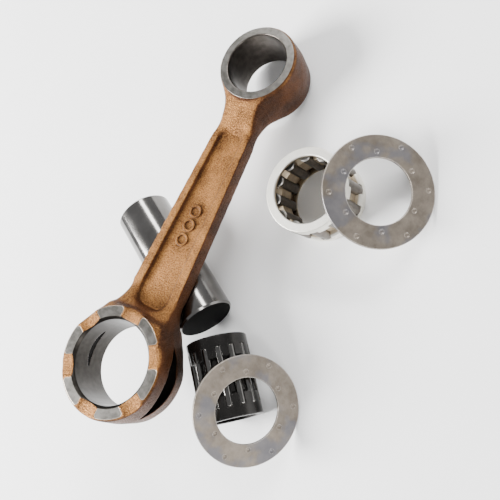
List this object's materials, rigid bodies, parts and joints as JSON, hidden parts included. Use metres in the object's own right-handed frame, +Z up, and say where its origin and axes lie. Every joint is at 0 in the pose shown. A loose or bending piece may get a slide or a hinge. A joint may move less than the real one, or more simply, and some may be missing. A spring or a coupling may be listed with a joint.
{
  "type": "connecting rod kit",
  "caption": "Two-stroke engine connecting rod kit laid out: I-beam rod with both bores, crankpin, caged needle bearings and thrust washers.",
  "frame": {"origin": "on the surface the kit lies on, under the middle of its bounding box", "axes": "+Z up from that surface, +Y from the rod's big end to its small end, +X towards the bearings and washers"},
  "size_m": [0.1058, 0.1436, 0.0398],
  "materials": {
    "copper_plated_forging": "copper-plated, blasted forging with ground steel faces and bores",
    "polished_pin": "ground and polished steel",
    "bright_cage": "silver-plated cage, satin",
    "roller_steel": "ground bearing steel",
    "black_cage": "black-oxide steel, semi-gloss",
    "needle_steel": "polished bearing steel",
    "washer_steel": "heat-tinted steel, matt"
  },
  "bodies": {
    "connecting_rod": {"connecting_rod": "copper_plated_forging"},
    "crank_pin": {"crank_pin": "polished_pin"},
    "big_end_cage": {"big_end_cage": "bright_cage"},
    "big_end_roller_01": {"big_end_roller_01": "roller_steel"},
    "big_end_roller_02": {"big_end_roller_02": "roller_steel"},
    "big_end_roller_03": {"big_end_roller_03": "roller_steel"},
    "big_end_roller_04": {"big_end_roller_04": "roller_steel"},
    "big_end_roller_05": {"big_end_roller_05": "roller_steel"},
    "big_end_roller_06": {"big_end_roller_06": "roller_steel"},
    "big_end_roller_07": {"big_end_roller_07": "roller_steel"},
    "big_end_roller_08": {"big_end_roller_08": "roller_steel"},
    "big_end_roller_09": {"big_end_roller_09": "roller_steel"},
    "big_end_roller_10": {"big_end_roller_10": "roller_steel"},
    "big_end_roller_11": {"big_end_roller_11": "roller_steel"},
    "big_end_roller_12": {"big_end_roller_12": "roller_steel"},
    "small_end_cage": {"small_end_cage": "black_cage"},
    "small_end_needle_01": {"small_end_needle_01": "needle_steel"},
    "small_end_needle_02": {"small_end_needle_02": "needle_steel"},
    "small_end_needle_03": {"small_end_needle_03": "needle_steel"},
    "small_end_needle_04": {"small_end_needle_04": "needle_steel"},
    "small_end_needle_05": {"small_end_needle_05": "needle_steel"},
    "small_end_needle_06": {"small_end_needle_06": "needle_steel"},
    "small_end_needle_07": {"small_end_needle_07": "needle_steel"},
    "small_end_needle_08": {"small_end_needle_08": "needle_steel"},
    "small_end_needle_09": {"small_end_needle_09": "needle_steel"},
    "small_end_needle_10": {"small_end_needle_10": "needle_steel"},
    "small_end_needle_11": {"small_end_needle_11": "needle_steel"},
    "small_end_needle_12": {"small_end_needle_12": "needle_steel"},
    "small_end_needle_13": {"small_end_needle_13": "needle_steel"},
    "small_end_needle_14": {"small_end_needle_14": "needle_steel"},
    "thrust_washer_right": {"thrust_washer_right": "washer_steel"},
    "thrust_washer_left": {"thrust_washer_left": "washer_steel"}
  },
  "joints": [
    {"name": "crank_pin_turn", "type": "hinge", "parent": "connecting_rod", "child": "crank_pin", "pos_m": [-0.02636, -0.01655, 0.01], "axis": [0.8634, -0.5045, 0], "continuous": true},
    {"name": "big_end_cage_turn", "type": "hinge", "parent": "connecting_rod", "child": "big_end_cage", "pos_m": [0.01706, 0.02343, 0.0086], "axis": [0, 0, 1], "continuous": true},
    {"name": "small_end_cage_turn", "type": "hinge", "parent": "connecting_rod", "child": "small_end_cage", "pos_m": [0.01086, -0.04447, 0.01044], "axis": [0.6347, -0.7727, 0], "continuous": true},
    {"name": "thrust_washer_right_turn", "type": "hinge", "parent": "connecting_rod", "child": "thrust_washer_right", "pos_m": [0.03816, 0.03043, 0.01126], "axis": [0.5811, 0.2035, 0.788], "continuous": true},
    {"name": "thrust_washer_left_turn", "type": "hinge", "parent": "connecting_rod", "child": "thrust_washer_left", "pos_m": [0.02466, -0.04867, 0.01386], "axis": [0.7375, 0.2073, 0.6428], "continuous": true},
    {"name": "big_end_roller_01_spin", "type": "hinge", "parent": "big_end_cage", "child": "big_end_roller_01", "pos_m": [0.02906, 0.02343, 0.0086], "axis": [0, 0, 1], "continuous": true},
    {"name": "big_end_roller_02_spin", "type": "hinge", "parent": "big_end_cage", "child": "big_end_roller_02", "pos_m": [0.02746, 0.02943, 0.0086], "axis": [0, 0, 1], "continuous": true},
    {"name": "big_end_roller_03_spin", "type": "hinge", "parent": "big_end_cage", "child": "big_end_roller_03", "pos_m": [0.02306, 0.03383, 0.0086], "axis": [0, 0, 1], "continuous": true},
    {"name": "big_end_roller_04_spin", "type": "hinge", "parent": "big_end_cage", "child": "big_end_roller_04", "pos_m": [0.01706, 0.03543, 0.0086], "axis": [0, 0, 1], "continuous": true},
    {"name": "big_end_roller_05_spin", "type": "hinge", "parent": "big_end_cage", "child": "big_end_roller_05", "pos_m": [0.01106, 0.03383, 0.0086], "axis": [0, 0, 1], "continuous": true},
    {"name": "big_end_roller_06_spin", "type": "hinge", "parent": "big_end_cage", "child": "big_end_roller_06", "pos_m": [0.00667, 0.02943, 0.0086], "axis": [0, 0, 1], "continuous": true},
    {"name": "big_end_roller_07_spin", "type": "hinge", "parent": "big_end_cage", "child": "big_end_roller_07", "pos_m": [0.00506, 0.02343, 0.0086], "axis": [0, 0, 1], "continuous": true},
    {"name": "big_end_roller_08_spin", "type": "hinge", "parent": "big_end_cage", "child": "big_end_roller_08", "pos_m": [0.00667, 0.01743, 0.0086], "axis": [0, 0, 1], "continuous": true},
    {"name": "big_end_roller_09_spin", "type": "hinge", "parent": "big_end_cage", "child": "big_end_roller_09", "pos_m": [0.01106, 0.01304, 0.0086], "axis": [0, 0, 1], "continuous": true},
    {"name": "big_end_roller_10_spin", "type": "hinge", "parent": "big_end_cage", "child": "big_end_roller_10", "pos_m": [0.01706, 0.01143, 0.0086], "axis": [0, 0, 1], "continuous": true},
    {"name": "big_end_roller_11_spin", "type": "hinge", "parent": "big_end_cage", "child": "big_end_roller_11", "pos_m": [0.02306, 0.01304, 0.0086], "axis": [0, 0, 1], "continuous": true},
    {"name": "big_end_roller_12_spin", "type": "hinge", "parent": "big_end_cage", "child": "big_end_roller_12", "pos_m": [0.02746, 0.01743, 0.0086], "axis": [0, 0, 1], "continuous": true},
    {"name": "small_end_needle_01_spin", "type": "hinge", "parent": "small_end_cage", "child": "small_end_needle_01", "pos_m": [0.01321, -0.04254, 0.0017], "axis": [0.6347, -0.7727, 0], "continuous": true},
    {"name": "small_end_needle_02_spin", "type": "hinge", "parent": "small_end_cage", "child": "small_end_needle_02", "pos_m": [0.01591, -0.04032, 0.00389], "axis": [0.6347, -0.7727, 0], "continuous": true},
    {"name": "small_end_needle_03_spin", "type": "hinge", "parent": "small_end_cage", "child": "small_end_needle_03", "pos_m": [0.01761, -0.03893, 0.00737], "axis": [0.6347, -0.7727, 0], "continuous": true},
    {"name": "small_end_needle_04_spin", "type": "hinge", "parent": "small_end_cage", "child": "small_end_needle_04", "pos_m": [0.01797, -0.03863, 0.01146], "axis": [0.6347, -0.7727, 0], "continuous": true},
    {"name": "small_end_needle_05_spin", "type": "hinge", "parent": "small_end_cage", "child": "small_end_needle_05", "pos_m": [0.01692, -0.03949, 0.01535], "axis": [0.6347, -0.7727, 0], "continuous": true},
    {"name": "small_end_needle_06_spin", "type": "hinge", "parent": "small_end_cage", "child": "small_end_needle_06", "pos_m": [0.01468, -0.04134, 0.01826], "axis": [0.6347, -0.7727, 0], "continuous": true},
    {"name": "small_end_needle_07_spin", "type": "hinge", "parent": "small_end_cage", "child": "small_end_needle_07", "pos_m": [0.01167, -0.0438, 0.01963], "axis": [0.6347, -0.7727, 0], "continuous": true},
    {"name": "small_end_needle_08_spin", "type": "hinge", "parent": "small_end_cage", "child": "small_end_needle_08", "pos_m": [0.00851, -0.0464, 0.01918], "axis": [0.6347, -0.7727, 0], "continuous": true},
    {"name": "small_end_needle_09_spin", "type": "hinge", "parent": "small_end_cage", "child": "small_end_needle_09", "pos_m": [0.00582, -0.04861, 0.01699], "axis": [0.6347, -0.7727, 0], "continuous": true},
    {"name": "small_end_needle_10_spin", "type": "hinge", "parent": "small_end_cage", "child": "small_end_needle_10", "pos_m": [0.00412, -0.05001, 0.01351], "axis": [0.6347, -0.7727, 0], "continuous": true},
    {"name": "small_end_needle_11_spin", "type": "hinge", "parent": "small_end_cage", "child": "small_end_needle_11", "pos_m": [0.00376, -0.0503, 0.00942], "axis": [0.6347, -0.7727, 0], "continuous": true},
    {"name": "small_end_needle_12_spin", "type": "hinge", "parent": "small_end_cage", "child": "small_end_needle_12", "pos_m": [0.00481, -0.04944, 0.00553], "axis": [0.6347, -0.7727, 0], "continuous": true},
    {"name": "small_end_needle_13_spin", "type": "hinge", "parent": "small_end_cage", "child": "small_end_needle_13", "pos_m": [0.00705, -0.0476, 0.00262], "axis": [0.6347, -0.7727, 0], "continuous": true},
    {"name": "small_end_needle_14_spin", "type": "hinge", "parent": "small_end_cage", "child": "small_end_needle_14", "pos_m": [0.01005, -0.04513, 0.00125], "axis": [0.6347, -0.7727, 0], "continuous": true}
  ],
  "couplings": [
    {"joint": "big_end_roller_01_spin", "follows": "big_end_cage_turn", "ratio": -7},
    {"joint": "big_end_roller_02_spin", "follows": "big_end_cage_turn", "ratio": -7},
    {"joint": "big_end_roller_03_spin", "follows": "big_end_cage_turn", "ratio": -7},
    {"joint": "big_end_roller_04_spin", "follows": "big_end_cage_turn", "ratio": -7},
    {"joint": "big_end_roller_05_spin", "follows": "big_end_cage_turn", "ratio": -7},
    {"joint": "big_end_roller_06_spin", "follows": "big_end_cage_turn", "ratio": -7},
    {"joint": "big_end_roller_07_spin", "follows": "big_end_cage_turn", "ratio": -7},
    {"joint": "big_end_roller_08_spin", "follows": "big_end_cage_turn", "ratio": -7},
    {"joint": "big_end_roller_09_spin", "follows": "big_end_cage_turn", "ratio": -7},
    {"joint": "big_end_roller_10_spin", "follows": "big_end_cage_turn", "ratio": -7},
    {"joint": "big_end_roller_11_spin", "follows": "big_end_cage_turn", "ratio": -7},
    {"joint": "big_end_roller_12_spin", "follows": "big_end_cage_turn", "ratio": -7},
    {"joint": "small_end_needle_01_spin", "follows": "small_end_cage_turn", "ratio": -8.4},
    {"joint": "small_end_needle_02_spin", "follows": "small_end_cage_turn", "ratio": -8.4},
    {"joint": "small_end_needle_03_spin", "follows": "small_end_cage_turn", "ratio": -8.4},
    {"joint": "small_end_needle_04_spin", "follows": "small_end_cage_turn", "ratio": -8.4},
    {"joint": "small_end_needle_05_spin", "follows": "small_end_cage_turn", "ratio": -8.4},
    {"joint": "small_end_needle_06_spin", "follows": "small_end_cage_turn", "ratio": -8.4},
    {"joint": "small_end_needle_07_spin", "follows": "small_end_cage_turn", "ratio": -8.4},
    {"joint": "small_end_needle_08_spin", "follows": "small_end_cage_turn", "ratio": -8.4},
    {"joint": "small_end_needle_09_spin", "follows": "small_end_cage_turn", "ratio": -8.4},
    {"joint": "small_end_needle_10_spin", "follows": "small_end_cage_turn", "ratio": -8.4},
    {"joint": "small_end_needle_11_spin", "follows": "small_end_cage_turn", "ratio": -8.4},
    {"joint": "small_end_needle_12_spin", "follows": "small_end_cage_turn", "ratio": -8.4},
    {"joint": "small_end_needle_13_spin", "follows": "small_end_cage_turn", "ratio": -8.4},
    {"joint": "small_end_needle_14_spin", "follows": "small_end_cage_turn", "ratio": -8.4}
  ]
}
